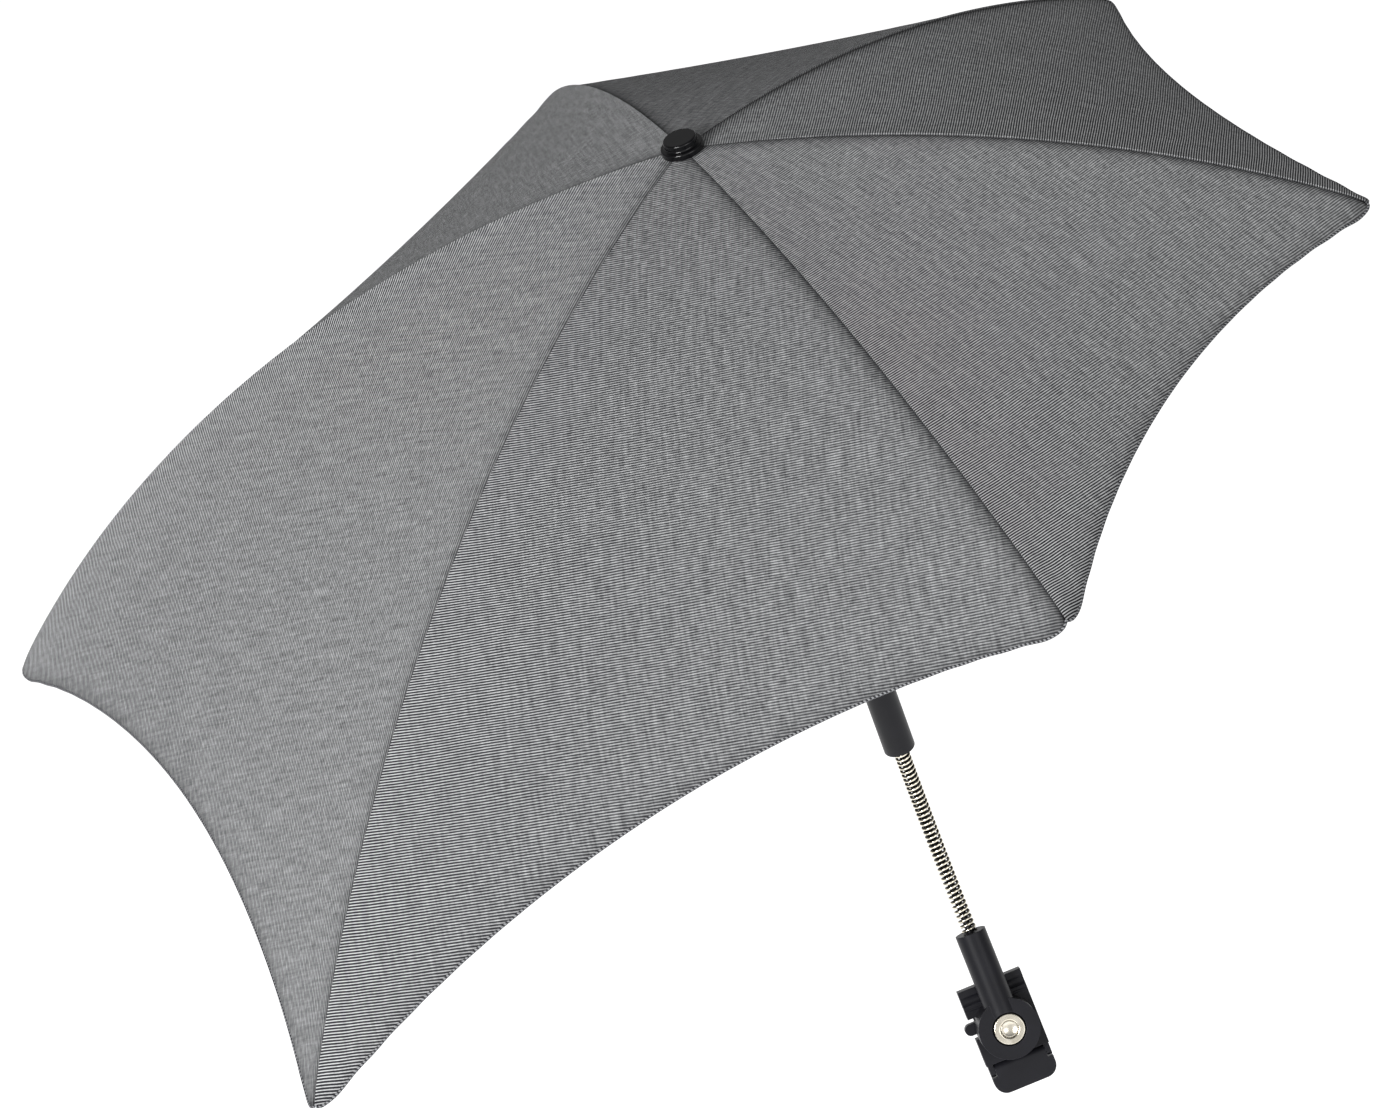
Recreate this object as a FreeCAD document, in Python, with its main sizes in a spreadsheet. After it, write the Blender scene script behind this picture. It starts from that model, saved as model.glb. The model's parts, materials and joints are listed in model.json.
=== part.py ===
import FreeCAD, Part
import math
import os

V = FreeCAD.Vector

# Driving dimensions in millimetres and degrees
SIZES = {
    "tube_r": 12.5,            # pram tube that the clamp grips
    "pad_t": 1.5,              # rubber lining of the jaws
    "jaw_wall": 4.5,
    "clamp_w": 34.0,
    "jaw_w": 25.0,             # both jaws behind the plate, and their linings
    "clamp_top": 24.0,         # top of the clamp above the tube's axis
    "plate_front": 20.5,       # front face of the clamp ahead of the tube's axis
    "plate_bottom": 16.5,
    "jaw_split": 4.0,          # height of the jaw split below the tube's axis
    "jaw_gap": 0.8,
    "lever_bottom": 33.0,
    "lever_t": 5.0,
    "lever_inset": 0.5,
    "lever_corner_r": 6.4,
    "web_t": 6.0,              # lever's web from the barrel to the lower jaw
    "web_len": 16.0,
    "web_lap": 0.5,
    "bridge_in": 1.5,
    "jaw_clear": 1.2,
    "lug_w": 2.6,
    "lever_gap": 0.2,          # beside the lever's barrel
    "lever_pin_r": 1.5,
    "lever_pin_drop": 20.0,
    "barrel_r": 3.0,
    "ridge_r": 1.1,
    "ridge_in": 0.825,         # ridge's middle behind the front face
    "groove_r": 3.3,           # hollow above the ridge
    "groove_out": 2.2,
    "groove_above": 4.62,
    "ridge_up": 13.5,
    "nub_h": 6.0,              # release nub, a tab with a round end
    "nub_t": 4.0,
    "nub_up": 3.8,
    "nub_out": 3.4,            # how far it stands out of the clamp's side
    "nub_travel": 2.5,
    "nub_depth": 8.0,
    "notch_h": 10.8,           # notch round the nub in the clamp's side
    "notch_in": 4.0,
    "pivot_bolt_r": 4.0,
    "bolt_end_gap": 0.2,
    "arm_disc_r": 15.6,
    "arm_disc_t": 14.0,
    "arm_gap": 0.5,            # running gap between the arm's disc and the clamp's plate
    "arm_len": 52.0,           # pivot to the rim of the lower sleeve
    "sleeve_r": 7.9,
    "ring_r": 12.6,            # toothed ring under the disc
    "ring_bore_r": 8.0,
    "ring_t": 2.0,
    "ring_teeth": 24,
    "tooth_h": 0.8,
    "tooth_lap": 0.2,
    "collar_r": 7.9,
    "collar_t": 4.4,
    "collar_proud": 0.6,
    "collar_lip_r": 1.1,       # rounding of the collar's inner edge
    "moat_w": 0.8,             # sunk ring round the collar
    "moat_depth": 1.2,
    "button_r": 4.2,
    "button_t": 3.6,
    "button_in": 0.6,          # button's face under the collar's
    "button_travel": 2.0,
    "button_dish_r": 9.0,
    "button_dish_depth": 0.8,
    "stem_lean_angle": 28.0,   # lean of the arm from the canopy's axis, taken up by the neck
    "neck_len": 108.0,
    "coil_r": 3.35,            # middle of the neck's wire
    "wire_r": 0.75,
    "coil_turns": 41,
    "coil_lead_angle": 40.0,   # turn from the wire's end to the coil's first turn
    "core_r": 1.9,
    "upper_sleeve_len": 50.0,
    "pole_seat": 35.0,         # pole inside the upper sleeve
    "pole_r": 5.0,
    "pole_wall": 0.8,
    "apex_up": 361.0,          # neck's upper end to the canopy's apex
    "canopy_turn_angle": 10.0, # canopy turned on its pole, from the clamp's left side to its front
    "reach_front": 418.0,      # ribs' reach from the axis
    "reach_side": 303.0,
    "reach_back": 295.0,
    "rib_bend_r": 658.0,       # bend of the cloth's top along every rib
    "rib_start_angle": 6.7,    # slope of the cloth at the apex
    "front_angle": 31.3,       # ribs' angles from the canopy's front
    "side_angle": 92.5,
    "back_angle": 153.0,
    "rib_r": 1.6,
    "knuckle_lap": 0.15,       # how far the ball at the rib's bend stands over the rod
    "rib_straight": 28.0,      # the rib's bend starts at this distance from the axis
    "cloth_t": 0.8,
    "cloth_gap": 0.3,
    "cloth_hole_r": 6.0,
    "scallop_ratio": 0.075,    # hem drawn in at mid panel, as a share of the rib
    "seam_ratio": 0.499,       # each cloth sector ends just before mid panel
    "tip_r": 2.6,
    "tip_len": 10.0,
    "hinge_r": 10.0,           # rib hinges' and runner's distance from the axis
    "hinge_drop": 8.5,
    "eye_r": 2.4,
    "eye_w": 3.6,
    "pin_r": 1.0,
    "crown_r": 14.0,
    "crown_top_drop": 3.2,
    "crown_plate": 2.0,
    "crown_len": 20.0,
    "hub_r": 7.0,
    "slot_w": 4.6,
    "joint_reach": 125.0,      # stretcher joint's distance from the axis
    "joint_drop": 5.0,         # stretcher joint below the rib's middle
    "clip_len": 11.0,
    "clip_r": 2.8,
    "clip_gap": 0.35,          # between the clip's saddle and the bent rib
    "lug_t": 1.2,
    "stretcher_r": 1.4,
    "stretcher_eye_w": 2.2,
    "stretcher_start": 1.76,   # rod's start from its upper eye's middle
    "waist_r": 5.28,           # flattened part round the upper eye
    "runner_drop": 92.0,       # stretchers' lower joints below the rib hinges, open
    "runner_r": 13.5,
    "runner_up": 5.0,
    "runner_len": 26.0,
    "grip_r": 9.0,
    "press_r": 2.8,            # release button in the runner's grip
    "press_turn_angle": 15.0,  # the button's turn from the clamp's front, midway between two stretchers
    "press_proud": 1.4,
    "press_travel": 1.4,
    "press_wall": 0.9,
    "stop_r": 7.0,
    "stop_len": 6.0,
    "cap_flange_r": 10.25,
    "cap_top_r": 8.0,
    "cap_flange_h": 3.0,
    "cap_h": 6.5,
    "cap_edge": 0.8,
    "cap_sink": 0.4,           # cap's rim below the cloth's apex
    "screw_r": 2.0,
    "fit": 0.05,               # running clearance, on the radius
    "open_gap": 0.4,           # open clearance between pieces
    "cut_over": 5.0,           # how far a cut starts outside its piece
    "through": 60.0,           # length of cuts that go right through
}

doc = FreeCAD.newDocument("pram_parasol")
sheet = doc.addObject("Spreadsheet::Sheet", "d")
for row, (alias, value) in enumerate(SIZES.items(), start=1):
    sheet.set("A%d" % row, alias)
    sheet.set("B%d" % row, str(value))
    sheet.setAlias("B%d" % row, alias)
doc.recompute()

nodes = []


def size(alias):
    return float(sheet.get(alias))


def place(piece, x, y, z):
    for axis, expression in zip("xyz", (x, y, z)):
        piece.setExpression("Placement.Base." + axis, str(expression))


def cylinder(name, radius, height, x="0", y="0", z="0", along="z"):
    piece = doc.addObject("Part::Cylinder", name)
    piece.setExpression("Radius", radius)
    piece.setExpression("Height", height)
    turn = {"z": (V(0, 0, 1), 0), "x": (V(0, 1, 0), 90), "y": (V(1, 0, 0), -90)}[along]
    piece.Placement = FreeCAD.Placement(V(0, 0, 0), FreeCAD.Rotation(*turn))
    place(piece, x, y, z)
    return piece


def box(name, length, width, height, x="0", y="0", z="0"):
    piece = doc.addObject("Part::Box", name)
    piece.setExpression("Length", length)
    piece.setExpression("Width", width)
    piece.setExpression("Height", height)
    place(piece, x, y, z)
    return piece


def fuse(name, *pieces):
    piece = doc.addObject("Part::MultiFuse", name)
    piece.Shapes = list(pieces)
    return piece


def cut(name, base, *tools):
    piece = doc.addObject("Part::Cut", name)
    piece.Base = base
    piece.Tool = tools[0] if len(tools) == 1 else fuse(name + "_tools", *tools)
    return piece


def common(name, *pieces):
    piece = doc.addObject("Part::MultiCommon", name)
    piece.Shapes = list(pieces)
    return piece


def single(name, piece):
    wrap = doc.addObject("Part::Compound", name)
    wrap.Links = [piece]
    return wrap


def fillet(name, base, radius, wanted):
    doc.recompute()
    piece = doc.addObject("Part::Fillet", name)
    piece.Base = base
    edges = enumerate(base.Shape.Edges, start=1)
    piece.Edges = [(index, radius, radius) for index, edge in edges if wanted(edge)]
    return piece


def feature(name, shape):
    piece = doc.addObject("Part::Feature", name)
    piece.Shape = shape
    return piece


def node(label, piece, placement=None):
    piece.Label = label
    if placement is not None:
        piece.Placement = placement
    nodes.append(piece)
    return piece


# The arm and the clamp lean together about the tube's axis, which is X
stem = FreeCAD.Placement(V(0, 0, 0), FreeCAD.Rotation(V(1, 0, 0), -size("stem_lean_angle")))
lean = math.radians(size("stem_lean_angle"))
stem_axis_y = -(size("plate_front") + size("arm_gap") + size("sleeve_r"))
neck_low = stem.multVec(V(0, stem_axis_y, size("arm_len")))
neck_bend_r = size("neck_len") / lean
neck_high = neck_low + V(0, neck_bend_r * (1 - math.cos(lean)), neck_bend_r * math.sin(lean))
axis_y = neck_high.y
apex_z = neck_high.z + size("apex_up")


def clamp():
    width = ("d.clamp_w", "-d.clamp_w / 2")
    saddle_r = "d.tube_r + d.pad_t"
    outer_r = saddle_r + " + d.jaw_wall"
    hollow_w = "2 * d.clamp_w"
    behind = "-d.tube_r - d.pad_t"
    plate = box("clamp_plate", width[0], "d.plate_front - d.tube_r - d.pad_t",
                "d.clamp_top + d.plate_bottom", width[1], "-d.plate_front", "-d.plate_bottom")
    hook = cylinder("clamp_hook", outer_r, "d.jaw_w", "-d.jaw_w / 2", along="x")
    below = box("clamp_below", hollow_w, "d.through", "d.through", "-d.clamp_w", behind,
                "-d.jaw_split - d.through")
    bore = cylinder("clamp_bore", saddle_r, hollow_w, "-d.clamp_w", along="x")
    pin_y = "-d.plate_front + d.barrel_r"
    lugs = []
    for side in (-1, 1):
        lug_x = "%d * (d.clamp_w / 2 - d.lever_inset - d.lug_w / 2) - d.lug_w / 2" % side
        lugs.append(box("clamp_lug_%d" % side, "d.lug_w", "2 * d.barrel_r",
                        "d.lever_pin_drop - d.plate_bottom", lug_x, "-d.plate_front", "-d.lever_pin_drop"))
        lugs.append(cylinder("clamp_lug_end_%d" % side, "d.barrel_r", "d.lug_w", lug_x, pin_y,
                             "-d.lever_pin_drop", along="x"))
    ridge = cylinder("clamp_ridge", "d.ridge_r", width[0], width[1], "-d.plate_front + d.ridge_in",
                     "d.ridge_up", along="x")
    groove = cylinder("clamp_groove", "d.groove_r", hollow_w, "-d.clamp_w",
                      "-d.plate_front - d.groove_out", "d.ridge_up + d.groove_above", along="x")
    bolt_hole = cylinder("clamp_bolt_hole", "d.pivot_bolt_r + d.fit", "d.through", y="-d.through", along="y")
    nub_y = "-(d.plate_front + d.tube_r + d.pad_t + d.nub_t) / 2"
    nub_hole = box("clamp_nub_hole", "d.nub_depth + d.nub_travel + d.open_gap", "d.nub_t + 2 * d.fit",
                   "d.nub_h + 2 * d.fit", width[1], nub_y + " - d.fit", "d.nub_up - d.nub_h / 2 - d.fit")
    notch = box("clamp_notch", "d.notch_in + d.cut_over", "d.plate_front", "d.notch_h",
                width[1] + " - d.cut_over", "-d.plate_front - d.cut_over", "d.nub_up - d.notch_h / 2")
    pin_hole = cylinder("clamp_pin_hole", "d.lever_pin_r", hollow_w, "-d.clamp_w", pin_y,
                        "-d.lever_pin_drop", along="x")
    block = fuse("clamp_block", plate, ridge, cut("clamp_ring", hook, below), *lugs)
    body = cut("clamp_cut", block, bore, groove, bolt_hole, notch, nub_hole, pin_hole)
    node("clamp_body", body, stem)

    pad_ring = cylinder("pad_ring", saddle_r, "d.jaw_w", "-d.jaw_w / 2", along="x")
    pad_bore = cylinder("pad_bore", "d.tube_r", hollow_w, "-d.clamp_w", along="x")
    pad_below = box("pad_below", hollow_w, "d.through", "d.through", "-d.clamp_w", "-d.through / 2",
                    "-d.jaw_split - d.through")
    node("jaw_pad", cut("jaw_pad_cut", pad_ring, pad_bore, pad_below), stem)

    pin = cylinder("pin_rod", "d.lever_pin_r", "d.clamp_w - 2 * d.lever_inset",
                   "-d.clamp_w / 2 + d.lever_inset", pin_y, "-d.lever_pin_drop", along="x")
    node("lever_pin", single("lever_pin_rod", pin), stem)

    nub_x = width[1] + " - d.nub_out + d.nub_h / 2"
    shank = box("nub_shank", "d.nub_depth + d.nub_out - d.nub_h / 2", "d.nub_t", "d.nub_h",
                nub_x, nub_y, "d.nub_up - d.nub_h / 2")
    end = cylinder("nub_end", "d.nub_h / 2", "d.nub_t", nub_x, nub_y, "d.nub_up", along="y")
    node("release_nub", fuse("release_nub_solid", shank, end), stem)


def lever():
    inner_w = "d.clamp_w - 2 * d.lever_inset - 2 * d.lug_w - 2 * d.lever_gap"
    inner_x = "-(%s) / 2" % inner_w
    pin_y = "-d.plate_front + d.barrel_r"
    saddle_r = "d.tube_r + d.pad_t"
    front = "-d.plate_front"
    split = "-d.jaw_split - d.jaw_gap"
    barrel = cylinder("lever_barrel", "d.barrel_r", inner_w, inner_x, pin_y, "-d.lever_pin_drop", along="x")
    neck = box("lever_neck", inner_w, "d.lever_t", "2 * d.barrel_r", inner_x, front,
               "-d.lever_pin_drop - 2 * d.barrel_r")
    flap_top = "d.lever_pin_drop + d.barrel_r + d.open_gap"
    flap = box("lever_flap", "d.clamp_w - 2 * d.lever_inset", "d.lever_t", "d.lever_bottom - (%s)" % flap_top,
               "-d.clamp_w / 2 + d.lever_inset", front, "-d.lever_bottom")
    corners = fillet("lever_flap_round", flap, size("lever_corner_r"), is_lower_flap_edge)
    web_y = "-d.tube_r - d.pad_t + d.jaw_clear"
    web_z = "-d.lever_pin_drop - d.barrel_r + d.web_lap"
    jaw_x = "-d.jaw_w / 2"
    web = box("lever_web", "d.jaw_w", "d.web_len", "d.web_t", jaw_x, web_y, web_z)
    jaw = cylinder("lever_jaw", saddle_r + " + d.jaw_wall", "d.jaw_w", jaw_x, along="x")
    low_back = box("lever_low_back", "d.jaw_w", "d.through", "d.through",
                   jaw_x, web_y, split + " - d.through")
    bridge = box("lever_bridge", inner_w, web_y + " + d.plate_front - d.bridge_in + d.web_lap", "d.barrel_r",
                 inner_x, front + " + d.bridge_in", web_z)
    bore = cylinder("lever_bore", saddle_r, "2 * d.clamp_w", "-d.clamp_w", along="x")
    pin_hole = cylinder("lever_pin_hole", "d.lever_pin_r + d.fit", "2 * d.clamp_w", "-d.clamp_w",
                        pin_y, "-d.lever_pin_drop", along="x")
    solid = fuse("lever_solid", barrel, neck, corners, web, bridge, common("lever_ring", jaw, low_back))
    node("clamp_lever", cut("lever_cut", solid, bore, pin_hole), stem)

    ring = cylinder("lever_pad_ring", saddle_r, "d.jaw_w", jaw_x, along="x")
    ring_bore = cylinder("lever_pad_bore", "d.tube_r", "2 * d.clamp_w", "-d.clamp_w", along="x")
    keep = box("lever_pad_keep", "d.jaw_w", "d.through", "d.through", jaw_x, "-d.tube_r / 2",
               split + " - d.through")
    node("lever_pad", cut("lever_pad_cut", common("lever_pad_part", ring, keep), ring_bore), stem)


def is_lower_flap_edge(edge):
    upright = abs(edge.BoundBox.YLength - size("lever_t")) < 1e-6
    return upright and edge.BoundBox.ZMax < -size("lever_bottom") + 1e-6


def pivot():
    face = "-d.plate_front - d.arm_gap - d.arm_disc_t"
    disc = cylinder("arm_disc", "d.arm_disc_r", "d.arm_disc_t", y=face, along="y")
    sleeve = cylinder("arm_sleeve", "d.sleeve_r", "d.arm_len", y="-d.plate_front - d.arm_gap - d.sleeve_r")
    bore = cylinder("arm_bore", "d.pivot_bolt_r + d.fit", "d.through", y="-d.through", along="y")
    seat = cylinder("arm_seat", "d.collar_r", "d.collar_t - d.collar_proud + d.cut_over",
                    y=face + " - d.cut_over", along="y")
    moat = cylinder("arm_moat", "d.collar_r + d.moat_w", "d.moat_depth + d.cut_over",
                    y=face + " - d.cut_over", along="y")
    root_y = face + " + d.collar_t - d.collar_proud"
    pocket = cylinder("arm_button_pocket", "d.button_r + d.fit", "d.button_in + d.button_travel",
                      y=root_y, along="y")
    recess = cylinder("arm_recess", "d.ring_r + d.open_gap", "d.ring_t + d.tooth_h + d.open_gap",
                      y="-d.plate_front - d.ring_t - d.tooth_h - d.open_gap", along="y")
    solid = fuse("arm_solid", disc, sleeve)
    node("pivot_arm", cut("arm_cut", solid, bore, seat, moat, pocket, recess), stem)

    bolt = cylinder("bolt_shank", "d.pivot_bolt_r",
                    "-d.tube_r - d.pad_t - d.bolt_end_gap - (%s) - d.button_in - d.button_travel" % root_y,
                    y=root_y + " + d.button_in + d.button_travel", along="y")
    node("pivot_bolt", single("pivot_bolt_rod", bolt), stem)

    ring_base = cylinder("ring_base", "d.ring_r", "d.ring_t", y="-d.plate_front - d.ring_t", along="y")
    ring_hole = cylinder("ring_hole", "d.ring_bore_r", "d.through", y="-d.plate_front - d.through / 2",
                         along="y")
    teeth = Part.makeCompound([tooth(index) for index in range(int(size("ring_teeth")))])
    ring = cut("ring_blank", ring_base, ring_hole)
    node("toothed_ring", fuse("ring_solid", ring, feature("ring_teeth_solids", teeth)), stem)

    collar_y = face + " - d.collar_proud"
    collar = cylinder("collar_disc", "d.collar_r", "d.collar_t", y=collar_y, along="y")
    collar_hole = cylinder("collar_hole", "d.button_r + d.fit", "d.through", y=collar_y + " - d.cut_over",
                           along="y")
    collar_cut = cut("collar_cut", collar, collar_hole)
    edge_r = size("collar_proud")
    rim = fillet("collar_round", collar_cut, edge_r, lambda edge: is_front_ring(edge, size("collar_r")))
    hole_r = size("button_r") + size("fit")
    lip = fillet("collar_lip", rim, size("collar_lip_r"), lambda edge: is_front_ring(edge, hole_r))
    node("pivot_collar", lip, stem)

    button_y = collar_y + " + d.button_in"
    button = cylinder("button_disc", "d.button_r", "d.button_t", y=button_y, along="y")
    dish = doc.addObject("Part::Sphere", "button_dish")
    dish.setExpression("Radius", "d.button_dish_r")
    place(dish, "0", button_y + " - d.button_dish_r + d.button_dish_depth", "0")
    node("pivot_button", cut("button_cut", button, dish), stem)


def is_front_ring(edge, radius):
    front = -(size("plate_front") + size("arm_gap") + size("arm_disc_t") + size("collar_proud"))
    flat = abs(edge.BoundBox.YMax - front) < 1e-6
    return flat and abs(edge.BoundBox.XLength - 2 * radius) < 1e-6


def tooth(index):
    length = size("ring_r") - size("ring_bore_r")
    width = math.pi * size("ring_bore_r") / size("ring_teeth")
    height = size("tooth_h") + size("tooth_lap")
    block = Part.makeBox(length, height, width, V(size("ring_bore_r"), 0, -width / 2))
    block.translate(V(0, -size("plate_front") - size("ring_t") - size("tooth_h"), 0))
    block.rotate(V(0, 0, 0), V(0, 1, 0), 360.0 * index / size("ring_teeth"))
    return block


# The neck's middle line is an arc from the arm's direction to the pole's
def neck_frame(share):
    angle = lean * (1 - share)
    side = V(0, math.cos(angle), -math.sin(angle))
    along = V(0, math.sin(angle), math.cos(angle))
    middle = neck_low + V(0, math.cos(angle) - math.cos(lean), math.sin(lean) - math.sin(angle)) * neck_bend_r
    return middle, side, along


def coil_point(turn_share, radius, margin):
    share = (margin + turn_share * (size("neck_len") - 2 * margin)) / size("neck_len")
    middle, side, along = neck_frame(share)
    angle = 2 * math.pi * turn_share * size("coil_turns")
    return middle + V(1, 0, 0) * (radius * math.cos(angle)) + side * (radius * math.sin(angle))


def coil_tangent(turn_share, radius, margin):
    step = 1e-5
    ahead = coil_point(turn_share + step, radius, margin)
    behind = coil_point(turn_share - step, radius, margin)
    return (ahead - behind).normalize()


# Two tangent arcs from one point and direction to the next
def biarc(start, start_dir, end, end_dir):
    span = start - end
    mix = start_dir + end_dir
    a = mix.dot(mix) / 2 - 2
    b = span.dot(mix)
    c = span.dot(span) / 2
    reach = (-b - math.sqrt(b * b - 4 * a * c)) / (2 * a)
    if reach <= 0:
        reach = (-b + math.sqrt(b * b - 4 * a * c)) / (2 * a)
    first = start + start_dir * reach
    last = end - end_dir * reach
    middle = (first + last) * 0.5
    return [arc_edge(start, start_dir, middle), arc_edge(middle, (last - first).normalize(), end)]


def arc_edge(start, direction, end):
    chord = end - start
    normal = chord - direction * chord.dot(direction)
    if normal.Length < 1e-7:
        return Part.LineSegment(start, end).toShape()
    normal.normalize()
    radius = chord.dot(chord) / (2 * chord.dot(normal))
    centre = start + normal * radius
    half = (start - centre) + (end - centre)
    half = half.normalize() if half.Length > 1e-9 else direction
    return Part.Arc(start, centre + half * radius, end).toShape()


def neck():
    radius = size("coil_r")
    straight = 2 * size("wire_r")
    margin = straight + radius
    halves = 2 * int(size("coil_turns"))
    shares = [index / halves for index in range(halves + 1)]
    points = [coil_point(share, radius, margin) for share in shares]
    tangents = [coil_tangent(share, radius, margin) for share in shares]
    edges = []
    low, low_side, low_up = neck_frame(0)
    high, high_side, high_up = neck_frame(1)
    lead = math.radians(size("coil_lead_angle"))
    foot = low + (V(1, 0, 0) * math.cos(lead) - low_side * math.sin(lead)) * radius
    head = high + (V(1, 0, 0) * math.cos(lead) + high_side * math.sin(lead)) * radius
    edges.append(Part.LineSegment(foot, foot + low_up * straight).toShape())
    edges += biarc(foot + low_up * straight, low_up, points[0], tangents[0])
    for index in range(halves):
        edges += biarc(points[index], tangents[index], points[index + 1], tangents[index + 1])
    edges += biarc(points[-1], tangents[-1], head - high_up * straight, high_up)
    edges.append(Part.LineSegment(head - high_up * straight, head).toShape())
    path = Part.Wire(edges)
    section = Part.Wire([Part.Circle(foot, low_up, size("wire_r")).toShape()])
    coil = path.makePipeShell([section], True, False)
    node("neck_spring", feature("neck_coil", coil))
    length = sum(edge.Length for edge in edges)
    print("neck wire length %.1f mm, volume share %.4f" % (
        length, coil.Volume / (length * math.pi * size("wire_r") ** 2)))
    print("least gap between turns %.2f mm" % least_gap(edges))

    core_circle = Part.Wire([Part.Circle(low, low_up, size("core_r")).toShape()])
    middle = neck_frame(0.5)[0]
    core_path = Part.Wire([Part.Arc(low, middle, high).toShape()])
    node("neck_core", feature("neck_core_rod", core_path.makePipeShell([core_circle], True, False)))


# Least distance between points of the wire that lie more than half a turn apart, less its thickness
def least_gap(edges):
    points = []
    for edge in edges:
        points += edge.discretize(7)[:-1]
    apart = 18
    least = 1e9
    for index, point in enumerate(points):
        for other in points[index + apart:index + 3 * apart]:
            least = min(least, point.distanceToPoint(other))
    return least - 2 * size("wire_r")


def pole():
    sleeve = cylinder("upper_sleeve_body", "d.sleeve_r", "d.upper_sleeve_len")
    socket = cylinder("upper_sleeve_socket", "d.pole_r", "d.pole_seat + d.cut_over",
                      z="d.upper_sleeve_len - d.pole_seat")
    at_neck = FreeCAD.Placement(neck_high, FreeCAD.Rotation())
    node("upper_sleeve", cut("upper_sleeve_cut", sleeve, socket), at_neck)

    pole_len = "d.apex_up - d.upper_sleeve_len + d.pole_seat - d.crown_top_drop - d.crown_plate"
    seat_z = "d.upper_sleeve_len - d.pole_seat"
    outer = cylinder("pole_outer", "d.pole_r", pole_len, z=seat_z)
    inner = cylinder("pole_inner", "d.pole_r - d.pole_wall", pole_len + " + 2 * d.cut_over",
                     z=seat_z + " - d.cut_over")
    node("pole_tube", cut("pole_cut", outer, inner), at_neck)

    stop = cylinder("stop_body", "d.stop_r", "d.stop_len", z="d.upper_sleeve_len")
    stop_hole = cylinder("stop_hole", "d.pole_r", "4 * d.stop_len", z="d.upper_sleeve_len - d.stop_len")
    node("pole_stop", cut("stop_cut", stop, stop_hole), at_neck)


def slots(name, first_r, length, low):
    cutters = []
    for azimuth in rib_angles():
        corner = V(first_r, -size("slot_w") / 2, low)
        slot = Part.makeBox(size("runner_r") * 2, size("slot_w"), length, corner)
        slot.rotate(V(0, 0, 0), V(0, 0, 1), azimuth)
        cutters.append(slot)
    return feature(name, Part.makeCompound(cutters))


def rib_angles():
    front = 180 + size("canopy_turn_angle")
    turns = [size("side_angle"), size("back_angle"), -size("back_angle"), -size("side_angle"),
             -size("front_angle"), size("front_angle")]
    return [front - turn for turn in turns]


def rib_reaches():
    side, back, front = size("reach_side"), size("reach_back"), size("reach_front")
    return [side, back, back, side, front, front]


def crown_and_runner():
    at_apex = FreeCAD.Placement(V(0, axis_y, apex_z), FreeCAD.Rotation())
    plate_low = -size("crown_top_drop") - size("crown_plate")
    body = cylinder("crown_body", "d.crown_r", "d.crown_len", z="-d.crown_top_drop - d.crown_len")
    socket = cylinder("crown_socket", "d.pole_r", "d.crown_len",
                      z="-d.crown_top_drop - d.crown_plate - d.crown_len")
    screw_hole = cylinder("crown_screw_hole", "d.screw_r", "d.through", z="-d.through / 2")
    gaps = slots("crown_slots", size("hub_r"), 3 * size("crown_len"), plate_low - 3 * size("crown_len"))
    pins = feature("crown_pin_holes", Part.makeCompound([crown_pin(index) for index in range(6)]))
    node("crown", cut("crown_cut", body, socket, screw_hole, gaps, pins), at_apex)
    node("crown_pins", feature("crown_pin_rods", Part.makeCompound([crown_pin(index) for index in range(6)])),
         at_apex)

    cap_z = "-d.cap_sink"
    flange = cylinder("cap_flange", "d.cap_flange_r", "d.cap_flange_h", z=cap_z)
    top = cylinder("cap_top", "d.cap_top_r", "d.cap_h", z=cap_z)
    rounded = fillet("cap_round", fuse("cap_solid", flange, top), size("cap_edge"), is_cap_edge)
    hole = cylinder("cap_hole", "d.screw_r", "d.cap_flange_h + d.cut_over", z=cap_z + " - d.cut_over")
    node("top_cap", cut("cap_cut", rounded, hole), at_apex)
    screw_len = "d.cap_flange_h + d.crown_top_drop + d.crown_plate - d.cap_sink"
    screw = cylinder("cap_screw_rod", "d.screw_r", screw_len, z="-d.crown_top_drop - d.crown_plate")
    node("cap_screw", single("cap_screw_solid", screw), at_apex)

    joint_z = "-d.hinge_drop - d.runner_drop"
    head = cylinder("runner_head", "d.runner_r", "2 * d.runner_up", z=joint_z + " - d.runner_up")
    grip = cylinder("runner_grip", "d.grip_r", "d.runner_len - d.runner_up - d.pin_r",
                    z=joint_z + " - d.runner_len")
    bore = cylinder("runner_bore", "d.pole_r + d.fit", "4 * d.runner_len", z=joint_z + " - 2 * d.runner_len")
    runner_low = -size("hinge_drop") - size("runner_drop") - 2 * size("runner_len")
    gaps = slots("runner_slots", size("hub_r"), 4 * size("runner_len"), runner_low)
    grip_gaps = cut("runner_head_cut", head, gaps)
    button_z = joint_z + " - d.runner_len / 2"
    pocket = cylinder("runner_pocket", "d.press_r + d.fit", "d.grip_r - d.pole_r - d.press_wall",
                      y="-d.grip_r", z=button_z, along="y")
    solid = fuse("runner_solid", grip_gaps, runner_hub(joint_z), grip)
    turned = FreeCAD.Rotation(V(0, 0, 1), -size("press_turn_angle"))
    turned_pocket = single("runner_turned_pocket", pocket)
    turned_pocket.Placement = FreeCAD.Placement(V(0, 0, 0), turned)
    node("runner", cut("runner_cut", solid, bore, turned_pocket), at_apex)
    press = cylinder("runner_press", "d.press_r",
                     "d.press_proud + d.grip_r - d.pole_r - d.press_wall - d.press_travel - d.open_gap",
                     y="-d.grip_r - d.press_proud", z=button_z, along="y")
    at_button = FreeCAD.Placement(V(0, axis_y, apex_z), turned)
    node("runner_button", single("runner_button_pin", press), at_button)


def runner_hub(joint_z):
    return cylinder("runner_hub", "d.hub_r - d.open_gap / 2", "2 * d.runner_up + d.runner_len / 2",
                    z=joint_z + " - d.runner_up - d.runner_len / 2")


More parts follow.
